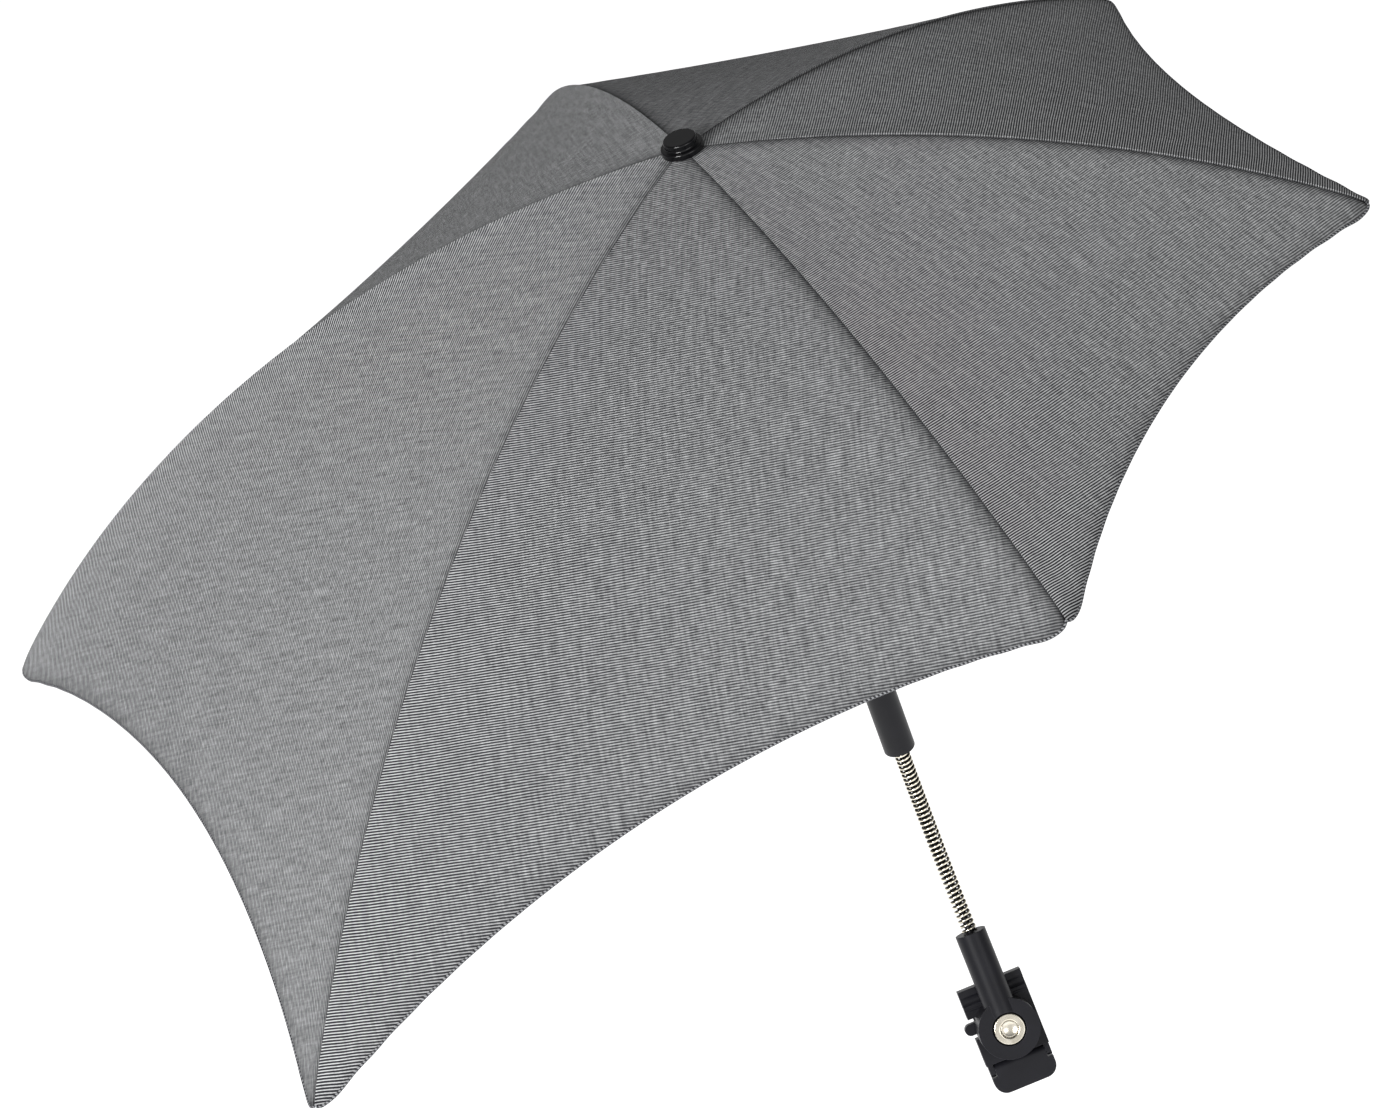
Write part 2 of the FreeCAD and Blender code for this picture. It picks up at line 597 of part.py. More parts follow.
def is_cap_edge(edge):
    round_edge = edge.BoundBox.ZLength < 1e-6 and edge.BoundBox.XLength > 2 * size("cap_top_r") - 1e-6
    return round_edge and edge.BoundBox.ZMin > -size("cap_sink") + 1e-6


def crown_pin(index):
    length = size("slot_w") + 4
    start = V(size("hinge_r"), -length / 2, -size("hinge_drop"))
    pin = Part.makeCylinder(size("pin_r"), length, start, V(0, 1, 0))
    pin.rotate(V(0, 0, 0), V(0, 0, 1), rib_angles()[index])
    return pin


# Point of the bent rib line, or of a line that lies deeper under the cloth's top, in the rib's own plane
def bend_angle(reach, depth=0.0):
    bend_r = size("rib_bend_r")
    start = math.sin(math.radians(size("rib_start_angle")))
    return math.asin((reach + bend_r * start) / (bend_r - depth))


def bend_point(reach, depth=0.0):
    bend_r = size("rib_bend_r")
    drop = bend_r * math.cos(math.radians(size("rib_start_angle")))
    return V(reach, 0, (bend_r - depth) * math.cos(bend_angle(reach, depth)) - drop)


def rib_depth():
    return size("cloth_t") + size("cloth_gap") + size("rib_r")


def tube(path_edges, radius):
    start = path_edges[0].firstVertex().Point
    direction = path_edges[0].tangentAt(path_edges[0].FirstParameter)
    section = Part.Wire([Part.Circle(start, direction, radius).toShape()])
    return Part.Wire(path_edges).makePipeShell([section], True, False)


def rib_shape(reach):
    depth = rib_depth()
    tip_reach = reach - size("tip_len")
    start = bend_point(size("rib_straight"), depth)
    end = bend_point(tip_reach, depth)
    middle = bend_point((size("rib_straight") + tip_reach) / 2, depth)
    hinge = V(size("hinge_r"), 0, -size("hinge_drop"))
    rod = tube([Part.Arc(start, middle, end).toShape()], size("rib_r"))
    root_line = start - hinge
    root = Part.makeCylinder(size("rib_r"), root_line.Length, hinge, root_line)
    knuckle = Part.makeSphere(size("rib_r") + size("knuckle_lap"), start)
    eye = Part.makeCylinder(size("eye_r"), size("eye_w"), hinge - V(0, size("eye_w") / 2, 0), V(0, 1, 0))
    through = size("through")
    hole = Part.makeCylinder(size("pin_r") + size("fit"), through, hinge - V(0, through / 2, 0), V(0, 1, 0))
    return rod.fuse(knuckle).fuse(root).fuse(eye).cut(hole)


def tip_shape(reach):
    depth = rib_depth()
    inner = bend_point(reach - size("tip_len"), depth)
    slope = bend_angle(reach - size("tip_len"), depth)
    along = V(math.cos(slope), 0, -math.sin(slope))
    below = V(-math.sin(slope), 0, -math.cos(slope)) * (size("tip_r") - size("rib_r"))
    barrel = Part.makeCylinder(size("tip_r"), size("tip_len") - size("tip_r"), inner + below, along)
    end = Part.makeSphere(size("tip_r"), inner + below + along * (size("tip_len") - size("tip_r")))
    return barrel.fuse(end)


def joint_place():
    depth = rib_depth()
    slope = bend_angle(size("joint_reach"), depth)
    middle = bend_point(size("joint_reach"), depth)
    along = V(math.cos(slope), 0, -math.sin(slope))
    down = V(-math.sin(slope), 0, -math.cos(slope))
    return middle, along, down


def clip_shape():
    middle, along, down = joint_place()
    half = size("clip_len") / 2
    grip = Part.makeCylinder(size("clip_r"), size("clip_len"), middle - along * half, along)
    pin_at = middle + down * size("joint_drop")
    inner = size("stretcher_eye_w") / 2 + size("open_gap") / 2
    lugs = []
    for side in (-1, 1):
        corner = V(-size("eye_r"), inner if side > 0 else -inner - size("lug_t"), -size("joint_drop"))
        lug = Part.makeBox(2 * size("eye_r"), size("lug_t"), size("joint_drop"), corner)
        ear = Part.makeCylinder(size("eye_r"), size("lug_t"), V(0, corner.y, -size("joint_drop")), V(0, 1, 0))
        lug = lug.fuse(ear)
        lug.rotate(V(0, 0, 0), V(0, 1, 0), math.degrees(bend_angle(size("joint_reach"), rib_depth())))
        lug.translate(middle)
        lugs.append(lug)
    pin_len = 2 * (inner + size("lug_t"))
    pin = Part.makeCylinder(size("pin_r"), pin_len, pin_at - V(0, pin_len / 2, 0), V(0, 1, 0))
    way_r = size("rib_r") + size("clip_gap")
    rib_way = Part.makeCylinder(way_r, size("clip_len") * 2, middle - along * 2 * half, along)
    through = size("through")
    above = Part.makeBox(4 * half, through, through, V(-2 * half, -through / 2, size("rib_r") / 2))
    above.rotate(V(0, 0, 0), V(0, 1, 0), math.degrees(bend_angle(size("joint_reach"), rib_depth())))
    above.translate(middle)
    return grip.fuse(lugs).cut(rib_way).cut(above).fuse(pin)


def stretcher_ends():
    middle, along, down = joint_place()
    upper = middle + down * size("joint_drop")
    lower = V(size("hinge_r"), 0, -size("hinge_drop") - size("runner_drop"))
    return upper, lower


def stretcher_shape():
    upper, lower = stretcher_ends()
    width = size("stretcher_eye_w")
    eye_r = size("eye_r") - size("open_gap") / 2
    line = (lower - upper).normalize()
    first = upper + line * size("stretcher_start")
    rod = Part.makeCylinder(size("stretcher_r"), (lower - first).Length, first, line)
    top_eye = Part.makeCylinder(eye_r, width, upper - V(0, width / 2, 0), V(0, 1, 0))
    end_eye = Part.makeCylinder(eye_r, width, lower - V(0, width / 2, 0), V(0, 1, 0))
    span = 2 * size("reach_front")
    through = size("through")
    flats = Part.makeBox(span, width, span, V(-span / 2, -width / 2, -span / 2))
    near = Part.makeCylinder(size("waist_r"), through, upper - V(0, through / 2, 0), V(0, 1, 0))
    waist = rod.common(near).common(flats)
    hole = Part.makeCylinder(size("pin_r") + size("fit"), through, upper - V(0, through / 2, 0), V(0, 1, 0))
    return rod.cut(near).fuse([waist, top_eye, end_eye]).cut(hole)


# Cloth between two ribs: straight across from rib to rib, with a hem drawn in at mid panel
def cloth_point(reach, other_reach, turn, along, across, depth):
    share = along * (1 - 4 * size("scallop_ratio") * across * (1 - across))
    first = cloth_rib_point(reach, share)
    second = cloth_rib_point(other_reach, share)
    angle = math.radians(turn)
    second = V(second.x * math.cos(angle), second.x * math.sin(angle), second.z)
    return first * (1 - across) + second * across - V(0, 0, depth)


def cloth_rib_point(reach, share):
    first = size("cloth_hole_r")
    return bend_point(first + (reach - first) * share)


# One cloth sector lies over its rib and reaches to mid panel on both sides, in straight strips
def cloth_lines(reach, left, right, depth):
    rows, strips = 6, 4
    lines = []
    for strip in range(-strips, strips + 1):
        other_reach, turn = left if strip < 0 else right
        across = size("seam_ratio") * abs(strip) / strips
        points = [cloth_point(reach, other_reach, turn, row / rows, across, depth) for row in range(rows + 1)]
        line = Part.BSplineCurve()
        line.interpolate(points)
        lines.append(line.toShape())
    return lines


def cloth_shape(reach, left, right):
    tops = cloth_lines(reach, left, right, 0.0)
    bottoms = cloth_lines(reach, left, right, size("cloth_t"))
    faces = [Part.makeRuledSurface(tops[0], bottoms[0]), Part.makeRuledSurface(tops[-1], bottoms[-1])]
    for index in range(len(tops) - 1):
        faces.append(Part.makeRuledSurface(tops[index], tops[index + 1]))
        faces.append(Part.makeRuledSurface(bottoms[index], bottoms[index + 1]))
        for end in (0, -1):
            corners = [line.Vertexes[end].Point for line in (tops[index], tops[index + 1])]
            under = [line.Vertexes[end].Point for line in (bottoms[index], bottoms[index + 1])]
            upper = Part.LineSegment(*corners).toShape()
            lower = Part.LineSegment(*under).toShape()
            faces.append(Part.makeRuledSurface(upper, lower))
    sewn = Part.makeCompound(faces)
    sewn.sewShape()
    solid = Part.makeSolid(sewn.Shells[0])
    if solid.Volume < 0:
        solid.reverse()
    return solid


def canopy():
    angles = rib_angles()
    reaches = rib_reaches()
    for index, (angle, reach) in enumerate(zip(angles, reaches)):
        number = index + 1
        at_rib = FreeCAD.Placement(V(0, axis_y, apex_z), FreeCAD.Rotation(V(0, 0, 1), angle))
        after = (index + 1) % 6
        before = (index - 1) % 6
        right = (reaches[after], (angles[after] - angle + 180) % 360 - 180)
        left = (reaches[before], (angles[before] - angle + 180) % 360 - 180)
        node("rib_%d" % number, feature("rib_rod_%d" % number, rib_shape(reach)), at_rib)
        node("rib_tip_%d" % number, feature("rib_end_%d" % number, tip_shape(reach)), at_rib)
        node("rib_clip_%d" % number, feature("rib_joint_%d" % number, clip_shape()), at_rib)
        node("stretcher_%d" % number, feature("stretcher_rod_%d" % number, stretcher_shape()), at_rib)
        cloth = cloth_shape(reach, left, right)
        node("canopy_%d" % number, feature("canopy_cloth_%d" % number, cloth), at_rib)


clamp()
lever()
pivot()
neck()
pole()
crown_and_runner()
canopy()
doc.recompute()

for item in doc.Objects:
    if "Invalid" in item.State or "Error" in item.State:
        raise RuntimeError("%s failed: %s" % (item.Name, item.State))
for item in nodes:
    if item.Shape.isNull() or not item.Shape.isValid():
        raise RuntimeError("%s has no valid shape" % item.Label)

os.makedirs("parts", exist_ok=True)
for item in nodes:
    item.Shape.exportStep("parts/%s.step" % item.Label)
print("%d nodes, apex at %.1f mm, axis at y %.2f mm" % (len(nodes), apex_z, axis_y))
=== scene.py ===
import json
import math

import bpy
from mathutils import Matrix, Vector

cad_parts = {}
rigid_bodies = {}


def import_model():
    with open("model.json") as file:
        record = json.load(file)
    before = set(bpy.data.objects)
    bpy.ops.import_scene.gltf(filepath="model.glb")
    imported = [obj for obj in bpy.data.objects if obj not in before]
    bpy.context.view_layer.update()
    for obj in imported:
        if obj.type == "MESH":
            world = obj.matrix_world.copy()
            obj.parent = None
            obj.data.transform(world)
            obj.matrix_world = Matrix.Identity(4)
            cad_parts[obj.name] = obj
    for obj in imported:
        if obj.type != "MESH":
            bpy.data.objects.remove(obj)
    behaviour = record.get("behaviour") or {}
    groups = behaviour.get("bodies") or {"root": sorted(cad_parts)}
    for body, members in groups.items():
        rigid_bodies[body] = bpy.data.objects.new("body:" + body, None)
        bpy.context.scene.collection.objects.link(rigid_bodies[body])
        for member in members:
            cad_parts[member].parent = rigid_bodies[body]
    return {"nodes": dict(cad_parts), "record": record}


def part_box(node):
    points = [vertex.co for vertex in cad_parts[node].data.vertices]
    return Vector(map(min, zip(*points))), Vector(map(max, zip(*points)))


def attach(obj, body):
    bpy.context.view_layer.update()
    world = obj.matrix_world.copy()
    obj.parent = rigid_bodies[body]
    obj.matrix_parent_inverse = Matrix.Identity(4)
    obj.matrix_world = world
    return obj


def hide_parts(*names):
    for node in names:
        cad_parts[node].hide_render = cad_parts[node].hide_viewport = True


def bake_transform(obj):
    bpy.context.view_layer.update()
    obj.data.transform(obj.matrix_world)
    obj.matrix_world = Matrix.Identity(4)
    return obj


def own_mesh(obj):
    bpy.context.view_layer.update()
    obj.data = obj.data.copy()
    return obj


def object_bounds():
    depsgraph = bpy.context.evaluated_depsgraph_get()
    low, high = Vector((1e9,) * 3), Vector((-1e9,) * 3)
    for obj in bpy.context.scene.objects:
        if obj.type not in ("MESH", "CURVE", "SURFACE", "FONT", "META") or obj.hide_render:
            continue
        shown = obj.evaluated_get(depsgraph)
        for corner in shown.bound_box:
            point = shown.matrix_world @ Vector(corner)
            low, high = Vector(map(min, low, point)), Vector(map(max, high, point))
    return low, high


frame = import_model()
cadBox = [list(corner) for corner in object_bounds()]
nodes = frame["nodes"]
mm = 0.001
ribNumbers = [1, 2, 3, 4, 5, 6]


def linearColour(hexText):
    channels = []
    for at in (0, 2, 4):
        value = int(hexText[at:at + 2], 16) / 255
        channels.append(value / 12.92 if value <= 0.04045 else ((value + 0.055) / 1.055) ** 2.4)
    return (*channels, 1.0)


def addNode(tree, kind, settings=None, links=None):
    made = tree.nodes.new(kind)
    for name, value in (settings or {}).items():
        if isinstance(name, str) and hasattr(made, name):
            setattr(made, name, value)
        else:
            made.inputs[name].default_value = value
    for name, source in (links or {}).items():
        tree.links.new(source, made.inputs[name])
    return made


def mathNode(tree, operation, *terms, clamp=False):
    # each term is a number or another node's output
    made = addNode(tree, "ShaderNodeMath", {"operation": operation, "use_clamp": clamp})
    for at, term in enumerate(terms):
        if isinstance(term, (int, float)):
            made.inputs[at].default_value = term
        else:
            tree.links.new(term, made.inputs[at])
    return made.outputs[0]


def colourRamp(tree, factor, stops):
    ramp = addNode(tree, "ShaderNodeValToRGB", None, {0: factor})
    elements = ramp.color_ramp.elements
    for position, _ in stops[1:-1]:
        elements.new(position)
    for element, (position, colour) in zip(elements, stops):
        element.position = position
        element.color = colour
    return ramp.outputs[0]


def mixColours(tree, factor, first, secondHex):
    mixed = addNode(
        tree, "ShaderNodeMix", {"data_type": "RGBA", "blend_type": "MIX", 7: linearColour(secondHex)},
        {0: factor, 6: first})
    return mixed.outputs[2]


def attributeValue(tree, name):
    return addNode(tree, "ShaderNodeAttribute", {"attribute_name": name}).outputs["Fac"]


def newMaterial(name):
    material = bpy.data.materials.new(name)
    material.use_nodes = True
    tree = material.node_tree
    return material, tree, tree.nodes["Principled BSDF"]


def deselectAll():
    for item in bpy.context.view_layer.objects:
        item.select_set(False)


def setActive(item):
    deselectAll()
    item.select_set(True)
    bpy.context.view_layer.objects.active = item


def applyModifiers(item):
    setActive(item)
    for modifier in list(item.modifiers):
        bpy.ops.object.modifier_apply(modifier=modifier.name)


def meshPiece(name, points, faces):
    mesh = bpy.data.meshes.new(name)
    mesh.from_pydata(points, [], faces)
    mesh.update()
    item = bpy.data.objects.new(name, mesh)
    bpy.context.collection.objects.link(item)
    return item


def gridFaces(rows, wide, closed):
    # quads between rows of points; a closed row joins its last point to its first
    columns = wide if closed else wide - 1
    return [
        (i * wide + j, i * wide + (j + 1) % wide, (i + 1) * wide + (j + 1) % wide, (i + 1) * wide + j)
        for i in range(rows)
        for j in range(columns)
    ]


def setAttribute(mesh, name, values):
    attribute = mesh.attributes.new(name, "FLOAT", "POINT")
    attribute.data.foreach_set("value", values)


def giveMaterial(item, material):
    item.data.materials.clear()
    item.data.materials.append(material)


def boxCentre(name):
    low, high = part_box(name)
    return (Vector(low) + Vector(high)) / 2


# the view: a long lens, well above the canopy, rolled as the photograph is
view = {
    "place": (-0.1557, -2.2518, 1.8145),
    "right": (0.92627, -0.23418, -0.29527),
    "down": (-0.37518, -0.49902, -0.78117),
    "lens": 146.2,  # on a 36 mm wide frame
    "frameWidth": 36,
    "farthest": 50,
}


def addCamera():
    right = Vector(view["right"]).normalized()
    up = -Vector(view["down"]).normalized()
    back = right.cross(up)
    turn = Matrix((right, up, back)).transposed().to_4x4()
    data = bpy.data.cameras.new("photoCamera")
    data.lens = view["lens"]
    data.sensor_width = view["frameWidth"]
    data.sensor_fit = "HORIZONTAL"
    data.clip_end = view["farthest"]
    camera = bpy.data.objects.new("photoCamera", data)
    bpy.context.collection.objects.link(camera)
    camera.matrix_world = Matrix.Translation(view["place"]) @ turn
    bpy.context.scene.camera = camera
    print("camera lens", view["lens"])


# the canopy: arched ribs, cloth drawn tight between them, hems cut hollow
canopy = {
    "bendRadius": 658 * mm,
    "startAngle": math.radians(6.7),
    "hole": 6 * mm,
    "start": 9 * mm,  # the sectors' inner edge, under the cap
    "hollow": 0.075,  # how far the hem draws in at mid panel, as a share of the reach
    "thickness": 0.5 * mm,
    "sag": 0.010,  # share of the panel's width that the cloth dips between its ribs
    "tipRound": 6 * mm,
    "tipSpread": 1.3,
    "tipFade": 30 * mm,
    "tipPower": 6,  # how closely the rounding keeps to the hem
    "seamDip": 0.7 * mm,
    "seamDipReach": 3 * mm,
    "seamRise": 0.6 * mm,
    "seamRiseReach": 7 * mm,
    "seamStart": 0.25,  # share of the reach over which the seam's step comes in
    # how far the painted shade in the seam's crease reaches
    "shadeReach": 3.5 * mm,
    "hemCurl": 1.4 * mm,
    "hemCurlReach": 4 * mm,
    # how far the painted shade along the curled hem reaches
    "hemShadeReach": 3 * mm,
    "pucker": 0.5 * mm,  # tension folds that run in from each tip
    "puckerGap": 17 * mm,
    "puckerReach": 35 * mm,
    "puckerPower": 5,
    "boldReach": 75 * mm,  # how far from the lapped seam the stripes stay bold
    "rows": 70,
    "rowGather": 1.7,  # rows crowd towards the hem
    "columns": 30,
    "columnGather": 1.8,  # and columns towards the seam
    "smoothAngle": math.radians(50),
    "folded": 0.08,  # width that is left of a sector when the parasol is closed
}
canopyTurn = 190  # heading of the long side, in degrees
ribTurn = {1: 92.5, 2: 153, 3: -153, 4: -92.5, 5: -31.3, 6: 31.3}
ribReach = {1: 303 * mm, 2: 295 * mm, 3: 295 * mm, 4: 303 * mm, 5: 418 * mm, 6: 418 * mm}
ribHeading = {k: math.radians(canopyTurn - ribTurn[k]) for k in ribNumbers}
# each panel's stripes: their turn from the panel's cross direction in degrees, their spacing, and the
# panel's tone level, which holds a painted sheen that makes some panels lighter, some darker
panelThreads = {
    (5, 4): (20, 1.2 * mm, 0.45),
    (4, 3): (15, 1.15 * mm, 0.51),
    (3, 2): (30, 1.15 * mm, 0.49),
    (2, 1): (10, 1.15 * mm, 0.44),
    (1, 6): (20, 1.2 * mm, 0.5),
    (6, 5): (57, 1.5 * mm, 0.5),
}


def archDrop(radius):
    angle = math.asin(radius / canopy["bendRadius"] + math.sin(canopy["startAngle"]))
    return canopy["bendRadius"] * (math.cos(angle) - math.cos(canopy["startAngle"]))


axisY = boxCentre("pole_tube").y
apexZ = max(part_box(f"canopy_{k}")[1][2] for k in ribNumbers) - archDrop(canopy["hole"])
apex = Vector((0, axisY, apexZ))


def ribPoint(k, share):
    radius = canopy["start"] + (ribReach[k] - canopy["start"]) * share
    heading = ribHeading[k]
    return apex + Vector((radius * math.cos(heading), radius * math.sin(heading), archDrop(radius)))


def clothPoint(a, b, share, across):
    chord = (ribPoint(a, 1) - ribPoint(b, 1)).length
    beside = chord * across
    rounded = math.sqrt(beside ** 2 + canopy["tipRound"] ** 2) - canopy["tipRound"]
    extra = (beside - rounded) * canopy["tipSpread"] * math.exp(-beside / canopy["tipFade"])
    drawnIn = 1 - 4 * canopy["hollow"] * across * (1 - across)
    along = share * drawnIn + share ** canopy["tipPower"] * extra / ribReach[a]
    point = ribPoint(a, along).lerp(ribPoint(b, along), across)
    width = (ribPoint(a, along) - ribPoint(b, along)).length
    beside = width * across
    point.z -= canopy["sag"] * width * 4 * across * (1 - across)
    point.z -= canopy["hemCurl"] * math.exp((share - 1) * ribReach[a] / canopy["hemCurlReach"])
    fold = math.sin(2 * math.pi * beside / canopy["puckerGap"]) * math.exp(-beside / canopy["puckerReach"])
    point.z += canopy["pucker"] * share ** canopy["puckerPower"] * fold
    return point, width


def panelPair(a, b):
    return (a, b) if (a, b) in panelThreads else (b, a)


def panelFrame(first, second):
    middle = (ribPoint(first, 1) + ribPoint(second, 1)) / 2 - apex
    along = middle.normalized()
    across = (ribPoint(second, 1) - ribPoint(first, 1)).normalized()
    degrees, gap, _ = panelThreads[(first, second)]
    turn = math.radians(degrees)
    # metres along a stripe, and stripes counted across
    stripe = (across * math.cos(turn) + along * math.sin(turn)).normalized()
    return stripe, across.cross(along).normalized().cross(stripe) / gap


def seamOffset(side, beside):
    if side < 0:
        return -canopy["seamDip"] * math.exp(-beside / canopy["seamDipReach"])
    return canopy["seamRise"] * math.exp(-beside / canopy["seamRiseReach"])


def finishCloth(piece, fabric):
    solid = piece.modifiers.new("clothThickness", "SOLIDIFY")
    solid.thickness = canopy["thickness"]
    solid.offset = -1
    applyModifiers(piece)
    bpy.ops.object.shade_smooth_by_angle(angle=canopy["smoothAngle"])
    giveMaterial(piece, fabric)


def foldSideways(item, k):
    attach(item, f"rib_{k}")
    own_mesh(item)


def canopySector(k, fabric):
    # the cloth over one rib, from the middle of one panel to the middle of the next
    lower = k % 6 + 1  # the neighbour on the side whose cloth tucks under at the seam
    upper = (k - 2) % 6 + 1
    if (ribHeading[lower] - ribHeading[k]) % (2 * math.pi) < math.pi:
        lower, upper = upper, lower
    rows, columns = canopy["rows"], canopy["columns"]
    steps = [(-1, lower, j) for j in range(columns, -1, -1)] + [(1, upper, j) for j in range(columns + 1)]
    points, seamShades, hemShades, bolds, toneAndSheenValues = [], [], [], [], []
    for i in range(rows + 1):
        share = 1 - (1 - i / rows) ** canopy["rowGather"]
        for side, neighbour, j in steps:
            across = 0.5 * (j / columns) ** canopy["columnGather"]
            point, width = clothPoint(k, neighbour, share, across)
            beside = width * across
            point.z += seamOffset(side, beside) * min(1, share / canopy["seamStart"])
            points.append(point)
            # painted shade: darker in the crease where this side's cloth tucks under at the seam, and along
            # the curled hem
            seamShades.append(math.exp(-beside / canopy["shadeReach"]) if side < 0 else 0)
            hemShades.append(math.exp((share - 1) * ribReach[k] / canopy["hemShadeReach"]))
            fromLap = beside if side > 0 else width - beside
            bolds.append(share * math.exp(-fromLap / canopy["boldReach"]))
            # each panel's tone level, with its painted sheen
            toneAndSheenValues.append(panelThreads[panelPair(k, neighbour)][2])
    wide = len(steps)
    sector = meshPiece(f"canopySector_{k}", points, gridFaces(rows, wide, False))
    mesh = sector.data
    if mesh.polygons[0].normal.z < 0:
        mesh.flip_normals()
    layer = mesh.uv_layers.new(name="threads")
    frames = {-1: panelFrame(*panelPair(k, lower)), 1: panelFrame(*panelPair(k, upper))}
    for polygon in mesh.polygons:
        middle = polygon.vertices[0] % wide
        side = -1 if middle < columns else 1
        u, v = frames[side]
        for loop in polygon.loop_indices:
            offset = mesh.vertices[mesh.loops[loop].vertex_index].co - apex
            layer.data[loop].uv = (offset.dot(u), offset.dot(v))
    setAttribute(mesh, "seamShade", seamShades)
    setAttribute(mesh, "hemShade", hemShades)
    setAttribute(mesh, "boldness", bolds)
    setAttribute(mesh, "toneAndSheen", toneAndSheenValues)
    flatArea = sum(polygon.area for polygon in mesh.polygons)
    halfWidths = [clothPoint(k, other, 1, 0.5)[0] - ribPoint(k, 1) for other in (lower, upper)]
    width = sum(line.length for line in halfWidths)
    finishCloth(sector, fabric)
    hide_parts(f"canopy_{k}")
    foldSideways(sector, k)
    return sector, (width, ribReach[k]), flatArea


# the overlocked hem: thread wrapped round the cut edge
hem = {
    "radius": 0.65 * mm,
    "sides": 8,
    "points": 90,
    "gather": 1.5,  # points crowd towards the tips
    "smoothAngle": math.radians(60),
}


def hemLine(k):
    lower = k % 6 + 1
    upper = (k - 2) % 6 + 1
    line = []
    for neighbour, order in ((lower, range(hem["points"], 0, -1)), (upper, range(hem["points"] + 1))):
        for j in order:
            across = 0.5 * (j / hem["points"]) ** hem["gather"]
            point, _ = clothPoint(k, neighbour, 1, across)
            point.z -= canopy["thickness"] / 2
            line.append(point)
    return line


def hemThread(k, thread):
    line = hemLine(k)
    sides = hem["sides"]
    points, lengths = [], [0.0]
    for before, after in zip(line, line[1:]):
        lengths.append(lengths[-1] + (after - before).length)
    for i, point in enumerate(line):
        ahead = (line[min(i + 1, len(line) - 1)] - line[max(i - 1, 0)]).normalized()
        out = ahead.cross(Vector((0, 0, 1))).normalized()
        up = out.cross(ahead)
        for j in range(sides):
            angle = 2 * math.pi * j / sides
            points.append(point + hem["radius"] * (out * math.cos(angle) + up * math.sin(angle)))
    faces = gridFaces(len(line) - 1, sides, True)
    faces.append(tuple(range(sides)))
    faces.append(tuple(reversed(range((len(line) - 1) * sides, len(line) * sides))))
    piece = meshPiece(f"hemThread_{k}", points, faces)
    mesh = piece.data
    layer = mesh.uv_layers.new(name="wrap")
    for polygon in mesh.polygons:
        for loop in polygon.loop_indices:
            index = mesh.loops[loop].vertex_index
            layer.data[loop].uv = (lengths[index // sides], index % sides / sides)
    setActive(piece)
    bpy.ops.object.mode_set(mode="EDIT")
    bpy.ops.mesh.select_all(action="SELECT")
    bpy.ops.mesh.normals_make_consistent(inside=False)
    bpy.ops.object.mode_set(mode="OBJECT")
    bpy.ops.object.shade_smooth_by_angle(angle=hem["smoothAngle"])
    giveMaterial(piece, thread)
    foldSideways(piece, k)
    return piece


# a round of the same cloth between the cap and the crown, which stays there when the ribs fold
rosette = {
    "inside": 2.5 * mm,
    "outside": 14.5 * mm,
    "below": 0.8 * mm,  # under the sectors' surface
    "rings": 6,
    "spokes": 48,
    "threadGap": 1.2 * mm,
    "toneAndSheen": 0.45,
}


def addRosette(fabric):
    rings, spokes = rosette["rings"], rosette["spokes"]
    points = []
    for i in range(rings + 1):
        radius = rosette["inside"] + (rosette["outside"] - rosette["inside"]) * i / rings
        level = archDrop(radius) - rosette["below"]
        for j in range(spokes):
            heading = 2 * math.pi * j / spokes
            points.append(apex + Vector((radius * math.cos(heading), radius * math.sin(heading), level)))
    # turned over, so that the faces look up
    faces = [(a, d, c, b) for a, b, c, d in gridFaces(rings, spokes, True)]
    piece = meshPiece("capRosette", points, faces)
    mesh = piece.data
    layer = mesh.uv_layers.new(name="threads")
    for loop in mesh.loops:
        offset = mesh.vertices[loop.vertex_index].co - apex
        layer.data[loop.index].uv = (offset.x, offset.y / rosette["threadGap"])
    setAttribute(mesh, "toneAndSheen", [rosette["toneAndSheen"]] * len(points))
    finishCloth(piece, fabric)
    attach(piece, "pole")


# the canopy's cloth; real yarns lie about 0.5 mm apart, drawn as coarse as the photograph's stripes so
# that they show
twill = {
    # length along the stripe, and repeats to a stripe's width
    "dash": (4 * mm, 0.9),
    "streak": (1.4 * mm, 0.06),
    "drift": (60 * mm, 0.04),
    "yarnNoise": {"Detail": 2.0, "Roughness": 0.6},
    "driftNoise": {"Detail": 1.0},
    "wander": 1.5,  # how far a stripe strays sideways, in stripes
    "plainDepth": 0.2,  # how strongly a plain stripe shows, and how much more a bold one
    "boldDepth": 0.4,
    "dashShare": 0.42,
    "streakShare": 0.3,
    "boldShade": -0.12,  # bold stripes hold more dark yarn
    "middle": 0.375,
    "tones": [(0.15, "26262a"), (0.5, "757677"), (0.85, "cccdce")],
    # painted shade: how dark the seam's crease and the hem are painted, and the shade's colour
    "seamShade": 0.85,
    "hemShade": 0.4,
    "shade": "17171a",
    "reliefStrength": 0.35,
    "relief": 0.2 * mm,
    "roughness": 0.9,
    "specular": 0.15,
}


def stretchedNoise(tree, place, stretch, settings):
    length, repeats = stretch
    stretched = addNode(tree, "ShaderNodeMapping", {"Scale": (1 / length, repeats, 1)}, {"Vector": place})
    noise = addNode(
        tree, "ShaderNodeTexNoise", {"Scale": 1.0, **settings}, {"Vector": stretched.outputs[0]})
    return noise.outputs[0]


def stripeWave(tree, counted):
    turns = mathNode(tree, "MULTIPLY", counted, 2 * math.pi)
    return mathNode(tree, "SINE", turns)


